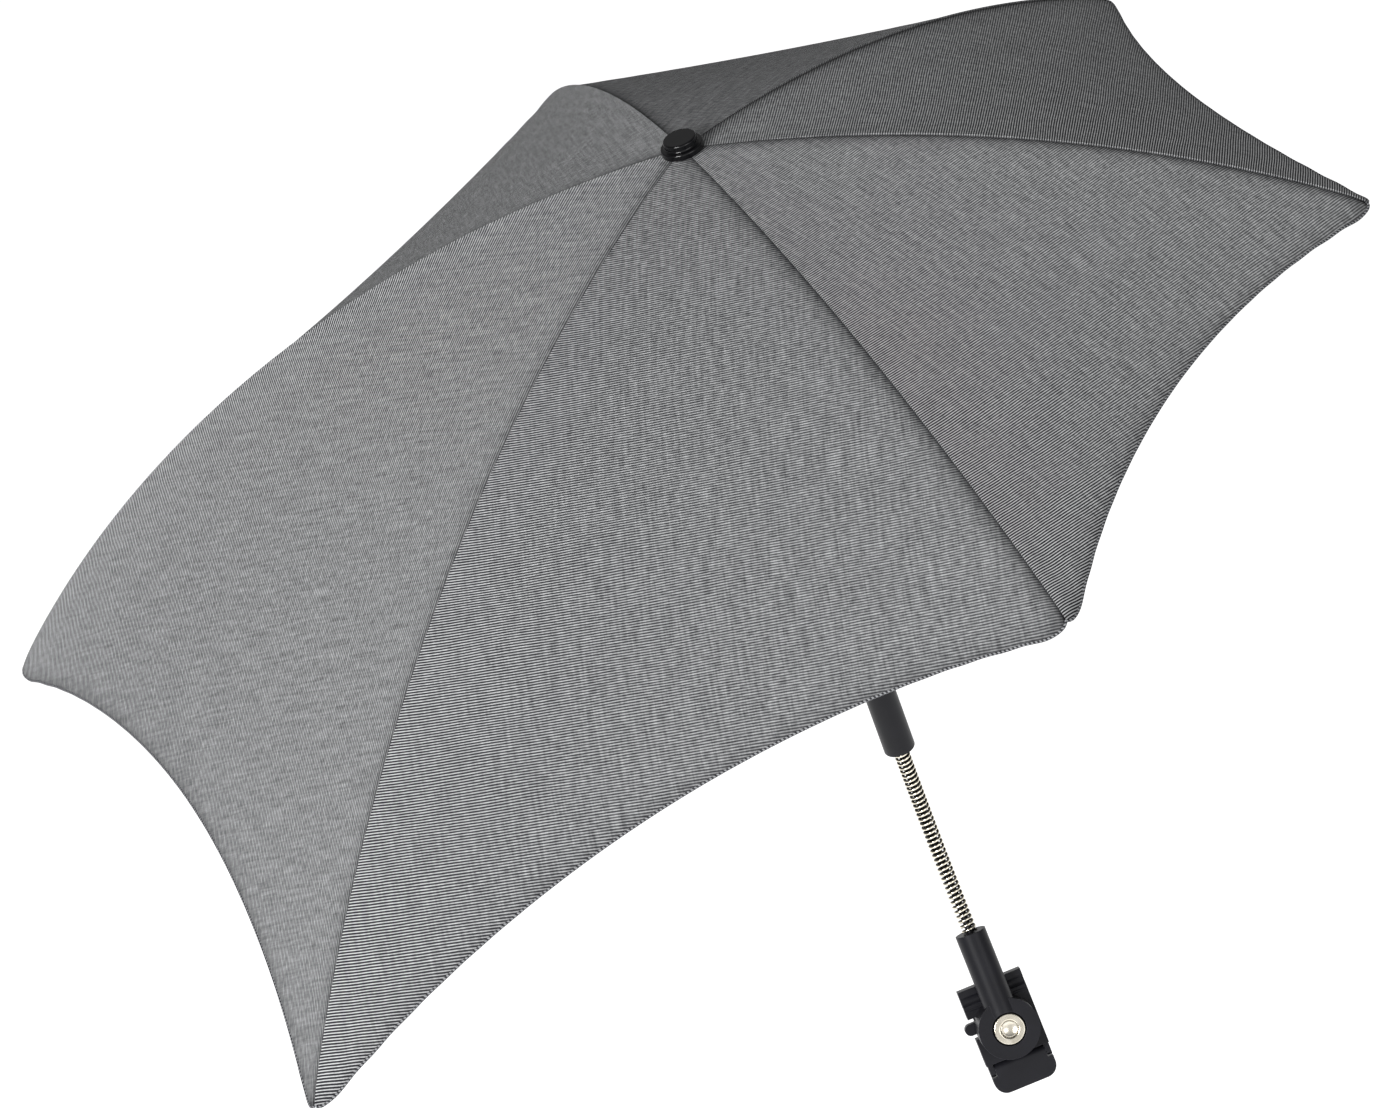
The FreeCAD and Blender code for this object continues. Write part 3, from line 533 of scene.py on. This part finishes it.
def melangeTwill():
    # polyester twill woven from pale and dark yarns: broken light and dark stripes, no gloss
    material, tree, shader = newMaterial("melange polyester twill")
    place = addNode(tree, "ShaderNodeUVMap", {"uv_map": "threads"}).outputs[0]
    counted = addNode(tree, "ShaderNodeSeparateXYZ", None, {0: place}).outputs["Y"]
    dashes = stretchedNoise(tree, place, twill["dash"], twill["yarnNoise"])
    streaks = stretchedNoise(tree, place, twill["streak"], twill["yarnNoise"])
    drift = stretchedNoise(tree, place, twill["drift"], twill["driftNoise"])
    wave = stripeWave(tree, mathNode(tree, "MULTIPLY_ADD", drift, twill["wander"], counted))
    boldness = attributeValue(tree, "boldness")
    depth = mathNode(tree, "MULTIPLY_ADD", boldness, twill["boldDepth"], twill["plainDepth"])
    stripes = mathNode(tree, "MULTIPLY", wave, depth)
    dashed = mathNode(tree, "MULTIPLY_ADD", dashes, twill["dashShare"], stripes)
    tone = mathNode(tree, "MULTIPLY_ADD", streaks, twill["streakShare"], dashed)
    # the panel's tone level, which holds a painted sheen: some panels lighter and some darker, as light
    # falls on them
    toneAndSheen = attributeValue(tree, "toneAndSheen")
    settled = mathNode(tree, "MULTIPLY_ADD", boldness, twill["boldShade"], toneAndSheen)
    lifted = mathNode(tree, "ADD", tone, settled)
    level = mathNode(tree, "SUBTRACT", lifted, twill["middle"])
    colours = colourRamp(tree, level, [(at, linearColour(colour)) for at, colour in twill["tones"]])
    # painted shade in the seam's crease and along the curled hem, mixed into the cloth's colour
    hemTone = mathNode(tree, "MULTIPLY", attributeValue(tree, "hemShade"), twill["hemShade"])
    tucked = attributeValue(tree, "seamShade")
    paintedShade = mathNode(tree, "MULTIPLY_ADD", tucked, twill["seamShade"], hemTone, clamp=True)
    tree.links.new(mixColours(tree, paintedShade, colours, twill["shade"]), shader.inputs["Base Color"])
    raised = addNode(
        tree, "ShaderNodeBump", {"Strength": twill["reliefStrength"], "Distance": twill["relief"]},
        {"Height": level})
    tree.links.new(raised.outputs[0], shader.inputs["Normal"])
    shader.inputs["Roughness"].default_value = twill["roughness"]
    shader.inputs["Specular IOR Level"].default_value = twill["specular"]
    return material


overlock = {
    "stitch": 1.9 * mm,  # a dark and a pale stitch
    "tones": [(0.3, "232427"), (0.75, "8e8f92")],
    "reliefStrength": 0.6,
    "relief": 0.4 * mm,
    "roughness": 0.8,
}


def overlockThread():
    # twisted polyester sewing thread over the hem: dark and pale stitches in turn
    material, tree, shader = newMaterial("polyester overlock thread")
    place = addNode(tree, "ShaderNodeUVMap", {"uv_map": "wrap"}).outputs[0]
    parts = addNode(tree, "ShaderNodeSeparateXYZ", None, {0: place}).outputs
    lean = mathNode(tree, "MULTIPLY_ADD", parts["X"], 1 / overlock["stitch"], parts["Y"])
    tone = mathNode(tree, "MULTIPLY_ADD", stripeWave(tree, lean), 0.5, 0.5)
    colours = colourRamp(tree, tone, [(at, linearColour(colour)) for at, colour in overlock["tones"]])
    tree.links.new(colours, shader.inputs["Base Color"])
    raised = addNode(
        tree, "ShaderNodeBump", {"Strength": overlock["reliefStrength"], "Distance": overlock["relief"]},
        {"Height": tone})
    tree.links.new(raised.outputs[0], shader.inputs["Normal"])
    shader.inputs["Roughness"].default_value = overlock["roughness"]
    return material


def addCanopy():
    fabric = melangeTwill()
    thread = overlockThread()
    addRosette(fabric)
    for k in ribNumbers:
        sector, flat, area = canopySector(k, fabric)
        edge = hemThread(k, thread)
        print("canopy sector", k, "flat", [round(x, 3) for x in flat], "area", round(area, 4))


# the neck: an open-wound spring over a bendable core, between the two sleeves
neck = {
    "low": (0, -1.1 * mm, 59.48 * mm),
    "high": (0, 24.764 * mm, 163.23 * mm),
    "bend": math.radians(28),
    "coilRadius": 3.35 * mm,
    "wireRadius": 0.75 * mm,
    "wireRounding": 3,
    "turns": 41,
    "pointsPerTurn": 20,
    "coreRadius": 1.9 * mm,
    "coreRounding": 4,
    "corePoints": 40,
    # the dull end's near-black colour is painted shade and a painted dark reflection between the turns and
    # on the flanks
    "dull": (0.35, "15130f", 0.5),  # share of the way out on the wire, colour, roughness
    "bright": (0.85, "efe8d6", 0.16),
}


def neckArc():
    low, high = Vector(neck["low"]), Vector(neck["high"])
    radius = (high - low).length / (2 * math.sin(neck["bend"] / 2))
    return high - Vector((0, radius, 0)), radius


def neckPoint(share):
    # place and lengthwise direction on the neck's arc, upright where it meets the pole
    middle, radius = neckArc()
    left = neck["bend"] * (1 - share)
    along = Vector((0, math.sin(left), math.cos(left)))
    point = middle + radius * Vector((0, math.cos(left), -math.sin(left)))
    return point, along


def wireCurve(name, points, radius, rounding):
    data = bpy.data.curves.new(name, "CURVE")
    data.dimensions = "3D"
    data.bevel_depth = radius
    data.bevel_resolution = rounding
    data.use_fill_caps = True
    spline = data.splines.new("POLY")
    spline.points.add(len(points) - 1)
    for place, point in zip(spline.points, points):
        place.co = (*point, 1)
    wire = bpy.data.objects.new(name, data)
    bpy.context.collection.objects.link(wire)
    setActive(wire)
    bpy.ops.object.convert(target="MESH")
    bpy.ops.object.shade_smooth()
    return bpy.context.view_layer.objects.active


def markCrest(spring):
    # how far out on the coil a place lies: 0 between the turns and inside, 1 on the wire's outermost line
    middle, radius = neckArc()
    crests = []
    for vertex in spring.data.vertices:
        spoke = vertex.co - middle
        axisPoint = middle + Vector((0, spoke.y, spoke.z)).normalized() * radius
        beyond = ((vertex.co - axisPoint).length - neck["coilRadius"]) / neck["wireRadius"]
        crests.append(max(0.0, min(1.0, beyond)))
    setAttribute(spring.data, "crest", crests)


def springWire():
    # nickel-plated spring wire: polished on the coil's outside, dull between the turns, where its
    # near-black colour is painted shade and painted dark reflection
    material, tree, shader = newMaterial("nickel-plated spring wire")
    crest = attributeValue(tree, "crest")
    shadedAt, paintedShadeColour, dullRoughness = neck["dull"]
    brightAt, brightColour, brightRoughness = neck["bright"]
    # painted shade and dark reflection between the turns, the plate's own colour on the crest
    colours = colourRamp(
        tree, crest, [(shadedAt, linearColour(paintedShadeColour)), (brightAt, linearColour(brightColour))])
    tree.links.new(colours, shader.inputs["Base Color"])
    shine = addNode(
        tree, "ShaderNodeMapRange", {"To Min": dullRoughness, "To Max": brightRoughness}, {"Value": crest})
    tree.links.new(shine.outputs[0], shader.inputs["Roughness"])
    shader.inputs["Metallic"].default_value = 1.0
    return material


def addNeck(coreFinish):
    coil = []
    count = neck["turns"] * neck["pointsPerTurn"]
    for i in range(count + 1):
        point, along = neckPoint(i / count)
        side = Vector((1, 0, 0))
        front = along.cross(side)
        angle = 2 * math.pi * i / neck["pointsPerTurn"]
        coil.append(point + neck["coilRadius"] * (side * math.cos(angle) + front * math.sin(angle)))
    spring = wireCurve("neckSpring", coil, neck["wireRadius"], neck["wireRounding"])
    markCrest(spring)
    giveMaterial(spring, springWire())
    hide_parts("neck_spring")
    rod = [neckPoint(i / neck["corePoints"])[0] for i in range(neck["corePoints"] + 1)]
    core = wireCurve("neckCore", rod, neck["coreRadius"], neck["coreRounding"])
    giveMaterial(core, coreFinish)
    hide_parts("neck_core")
    for piece in (spring, core):
        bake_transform(piece)
    print("neck spring", neck["turns"], "turns")


# edges as a mould or a polish leaves them
edges = {"samples": 6, "flat": 0.985, "turned": 0.8}
# moulded plastic: fine grain, faint mottling, edges paler, partly wear and partly a painted highlight
mould = {
    "edge": 0.4 * mm,
    "wearAndHighlight": 0.6,
    "mottle": 14 * mm,
    "detail": 3.0,
    "tones": (0.3, 0.7),
    "shinier": 0.05,
    "duller": 0.08,
    "grain": 0.25,
}
# plated or turned metal: the faint uneven shine of handling
plate = {"edge": 0.25 * mm, "detail": 4.0, "tones": (0.3, 0.65), "shinier": 0.04, "duller": 0.1}


def softEdges(tree, radius):
    # the rounded normal, and how much a place is an edge
    rounded = addNode(tree, "ShaderNodeBevel", {"samples": edges["samples"], "Radius": radius}).outputs[0]
    surface = addNode(tree, "ShaderNodeNewGeometry")
    facing = addNode(
        tree, "ShaderNodeVectorMath", {"operation": "DOT_PRODUCT"},
        {0: rounded, 1: surface.outputs["Normal"]})
    edge = addNode(
        tree, "ShaderNodeMapRange", {"From Min": edges["flat"], "From Max": edges["turned"]},
        {"Value": facing.outputs["Value"]})
    return rounded, edge.outputs[0]


def objectNoise(tree, size, detail):
    place = addNode(tree, "ShaderNodeTexCoord").outputs["Object"]
    noise = addNode(tree, "ShaderNodeTexNoise", {"Scale": 1 / size, "Detail": detail}, {"Vector": place})
    return noise.outputs[0]


def unevenShine(tree, shader, grain, roughness, finish):
    shine = addNode(
        tree, "ShaderNodeMapRange",
        {"To Min": roughness - finish["shinier"], "To Max": roughness + finish["duller"]}, {"Value": grain})
    tree.links.new(shine.outputs[0], shader.inputs["Roughness"])


def grainyPlastic(name, base, dark, wornLitEdge, roughness, specular, grainSize, height):
    material, tree, shader = newMaterial(name)
    grain = objectNoise(tree, grainSize, mould["detail"])
    mottle = objectNoise(tree, mould["mottle"], mould["detail"])
    colours = colourRamp(tree, mottle, list(zip(mould["tones"], (linearColour(dark), linearColour(base)))))
    # paler edges: partly wear, partly a painted highlight along the edges
    rounded, edge = softEdges(tree, mould["edge"])
    wearAndHighlight = mathNode(tree, "MULTIPLY", edge, mould["wearAndHighlight"])
    tree.links.new(mixColours(tree, wearAndHighlight, colours, wornLitEdge), shader.inputs["Base Color"])
    unevenShine(tree, shader, grain, roughness, mould)
    bump = addNode(
        tree, "ShaderNodeBump", {"Strength": mould["grain"], "Distance": height},
        {"Height": grain, "Normal": rounded})
    tree.links.new(bump.outputs[0], shader.inputs["Normal"])
    shader.inputs["Specular IOR Level"].default_value = specular
    return material


def platedMetal(name, base, dark, roughness, grainSize):
    material, tree, shader = newMaterial(name)
    grain = objectNoise(tree, grainSize, plate["detail"])
    colours = colourRamp(tree, grain, list(zip(plate["tones"], (linearColour(dark), linearColour(base)))))
    tree.links.new(colours, shader.inputs["Base Color"])
    unevenShine(tree, shader, grain, roughness, plate)
    rounded, _ = softEdges(tree, plate["edge"])
    tree.links.new(rounded, shader.inputs["Normal"])
    shader.inputs["Metallic"].default_value = 1.0
    return material


def addFinishes():
    finishes = {
        # glass-filled nylon, spark-eroded mould: matt charcoal black
        "black_nylon": grainyPlastic(
            "moulded glass-filled nylon", "1c1c21", "17171b", "4c4c54", 0.38, 0.2, 0.5 * mm, 0.05 * mm),
        # ABS from a polished mould: black with sharp highlights
        "gloss_black": grainyPlastic(
            "polished black ABS", "0b0b0d", "08080a", "1c1c1f", 0.12, 0.4, 3 * mm, 0.01 * mm),
        # thermoplastic rubber: soft and dull
        "grip_rubber": grainyPlastic(
            "thermoplastic rubber", "29292c", "232326", "3a3a3d", 0.75, 0.2, 0.6 * mm, 0.08 * mm),
        # nickel plate over brass: bright and slightly warm
        "bright_nickel": platedMetal("polished nickel plate", "e6e0d2", "d2cbbb", 0.2, 4 * mm),
        # turned steel: greyer and duller than the plate
        "steel": platedMetal("turned steel", "b4b4b4", "9c9c9c", 0.3, 2 * mm),
        # black anodised aluminium tube: satin, a little metallic
        "black_pole": grainyPlastic(
            "black anodised aluminium", "242428", "1e1e22", "6a6a6e", 0.35, 0.4, 0.4 * mm, 0.02 * mm),
        # pultruded glass fibre, black pigment: satin
        "rib_rod": grainyPlastic(
            "pultruded glass fibre", "232326", "1c1c1f", "3c3c40", 0.38, 0.35, 0.8 * mm, 0.03 * mm),
    }
    # the cloth's and the spring wire's slots get no finish here: the pieces that stand for them get their
    # own materials
    for part in frame["record"]["subparts"]:
        finish = finishes.get(part["material_slot"])
        if finish is not None and part["node"] in nodes:
            giveMaterial(nodes[part["node"]], finish)
    # blackened steel: the lever's pin and the rod in the spring, dark and dull
    finishes["blackened"] = platedMetal("blackened steel", "38383a", "2c2c2e", 0.4, 2 * mm)
    giveMaterial(nodes["lever_pin"], finishes["blackened"])
    # nitrile rubber: black and dull
    # a black ring that stands for the shadow round the pivot's collar, painted shade: black and dull
    finishes["seal"] = grainyPlastic(
        "black rubber standing for shade", "09090a", "070708", "101012", 0.85, 0.1, 0.6 * mm, 0.02 * mm)
    print("finishes", len(finishes))
    return finishes


# a black rubber ring in the groove round the pivot's collar, put there for the dark shadow line round the
# collar: painted shade
sealRing = {
    "groove": 0.8 * mm,
    "wire": 0.37 * mm,
    "collarProud": 0.6 * mm,
    "sunk": 0.2 * mm,
    "segments": 72,
    "sides": 12,
}


def addShadeRing(rubber):
    # the collar's axis leans back as the neck's lower end does
    lean = neck["bend"]
    forward = Vector((0, -math.cos(lean), math.sin(lean)))
    upward = Vector((0, math.sin(lean), math.cos(lean)))
    collar = nodes["pivot_collar"]
    places = [collar.matrix_world @ vertex.co for vertex in collar.data.vertices]
    sideways = [place.x for place in places]
    heights = [place.dot(upward) for place in places]
    around = (max(sideways) - min(sideways) + sealRing["groove"]) / 2
    depth = sealRing["collarProud"] + sealRing["sunk"] + sealRing["wire"]
    level = max(place.dot(forward) for place in places) - depth
    centre = forward * level + upward * (max(heights) + min(heights)) / 2
    centre.x = (max(sideways) + min(sideways)) / 2
    deselectAll()
    bpy.ops.mesh.primitive_torus_add(
        location=centre, rotation=(math.radians(90) - lean, 0, 0), major_segments=sealRing["segments"],
        minor_segments=sealRing["sides"], major_radius=around, minor_radius=sealRing["wire"])
    ring = bpy.context.view_layer.objects.active
    ring.name = "collarShadeRing"
    bpy.ops.object.transform_apply(location=True, rotation=True, scale=True)
    bpy.ops.object.shade_smooth()
    # the ring's black is painted shade
    giveMaterial(ring, rubber)
    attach(ring, "arm")
    print("collar seal", round(2 * around, 4), "across")


# a white studio: pale floor well under the parasol, broad soft lamps, a dim room behind the camera
studio = {
    "floorDrop": 0.7,
    "floorSize": 14,
    "floorColour": "f4f4f4",
    "floorRoughness": 0.9,
    "floorGlow": 0.6,
    "lamps": [
        # name, place, power, size
        ("keyLamp", (-2.0, -2.25, 2.0), 126, 1.4),
        ("fillLamp", (1.6, -2.9, 0.9), 16, 1.6),
    ],
    "aim": (0, 0, 0.4),
    "skyLight": 0.38,
    "room": [(0.0, 0.9), (0.3, 0.12), (0.55, 0.12), (1.0, 0.3)],  # from the camera's side to the far side
}


def seenDirectly(tree):
    # what the lens, a mirror-like surface or glass looks at
    rays = addNode(tree, "ShaderNodeLightPath").outputs
    glossy = mathNode(tree, "MAXIMUM", rays["Is Glossy Ray"], rays["Is Transmission Ray"])
    return rays["Is Camera Ray"], glossy


def addFloor():
    deselectAll()
    bpy.ops.mesh.primitive_plane_add(size=studio["floorSize"], location=(0, 0, 0))
    floor = bpy.context.view_layer.objects.active
    floor.name = "studioFloor"
    floor.location.z = cadBox[0][2] - studio["floorDrop"]
    setActive(floor)
    bpy.ops.object.transform_apply(location=True, rotation=True, scale=True)
    # white paint on board: matt, and lit a little more where it is looked at, so that it reads as white
    material, tree, shader = newMaterial("painted studio floor")
    camera, glossy = seenDirectly(tree)
    shown = mathNode(tree, "MAXIMUM", camera, glossy)
    glow = mathNode(tree, "MULTIPLY", shown, studio["floorGlow"])
    shader.inputs["Base Color"].default_value = linearColour(studio["floorColour"])
    shader.inputs["Roughness"].default_value = studio["floorRoughness"]
    shader.inputs["Emission Color"].default_value = (1, 1, 1, 1)
    tree.links.new(glow, shader.inputs["Emission Strength"])
    giveMaterial(floor, material)
    print("floor", studio["floorSize"], "m wide")


def addWorld():
    world = bpy.data.worlds.new("studioWorld")
    bpy.context.scene.world = world
    world.use_nodes = True
    tree = world.node_tree
    tree.nodes.clear()
    camera, glossy = seenDirectly(tree)
    place = addNode(tree, "ShaderNodeTexCoord")
    axes = addNode(tree, "ShaderNodeSeparateXYZ", None, {0: place.outputs["Generated"]})
    depth = addNode(
        tree, "ShaderNodeMapRange", {"From Min": -1.0, "From Max": 1.0}, {"Value": axes.outputs["Y"]})
    room = colourRamp(
        tree, depth.outputs[0], [(at, (level, level, level, 1)) for at, level in studio["room"]])
    mirrored = addNode(
        tree, "ShaderNodeMix", {"data_type": "FLOAT", 2: studio["skyLight"]}, {0: glossy, 3: room})
    strength = addNode(
        tree, "ShaderNodeMix", {"data_type": "FLOAT", 3: 1.0}, {0: camera, 2: mirrored.outputs[0]})
    sky = addNode(tree, "ShaderNodeBackground", {"Color": (1, 1, 1, 1)}, {"Strength": strength.outputs[0]})
    addNode(tree, "ShaderNodeOutputWorld", None, {"Surface": sky.outputs[0]})


def addLamps():
    for name, place, power, size in studio["lamps"]:
        data = bpy.data.lights.new(name, "AREA")
        data.energy = power
        data.size = size
        lamp = bpy.data.objects.new(name, data)
        bpy.context.collection.objects.link(lamp)
        lamp.location = place
        aim = Vector(studio["aim"]) - Vector(place)
        lamp.rotation_euler = aim.to_track_quat("-Z", "Y").to_euler()
    bpy.context.scene.view_settings.view_transform = "Standard"
    print("studio lamps", len(studio["lamps"]))


addCamera()
finishes = addFinishes()
addCanopy()
addNeck(finishes["blackened"])
addShadeRing(finishes["seal"])
addFloor()
addWorld()
addLamps()
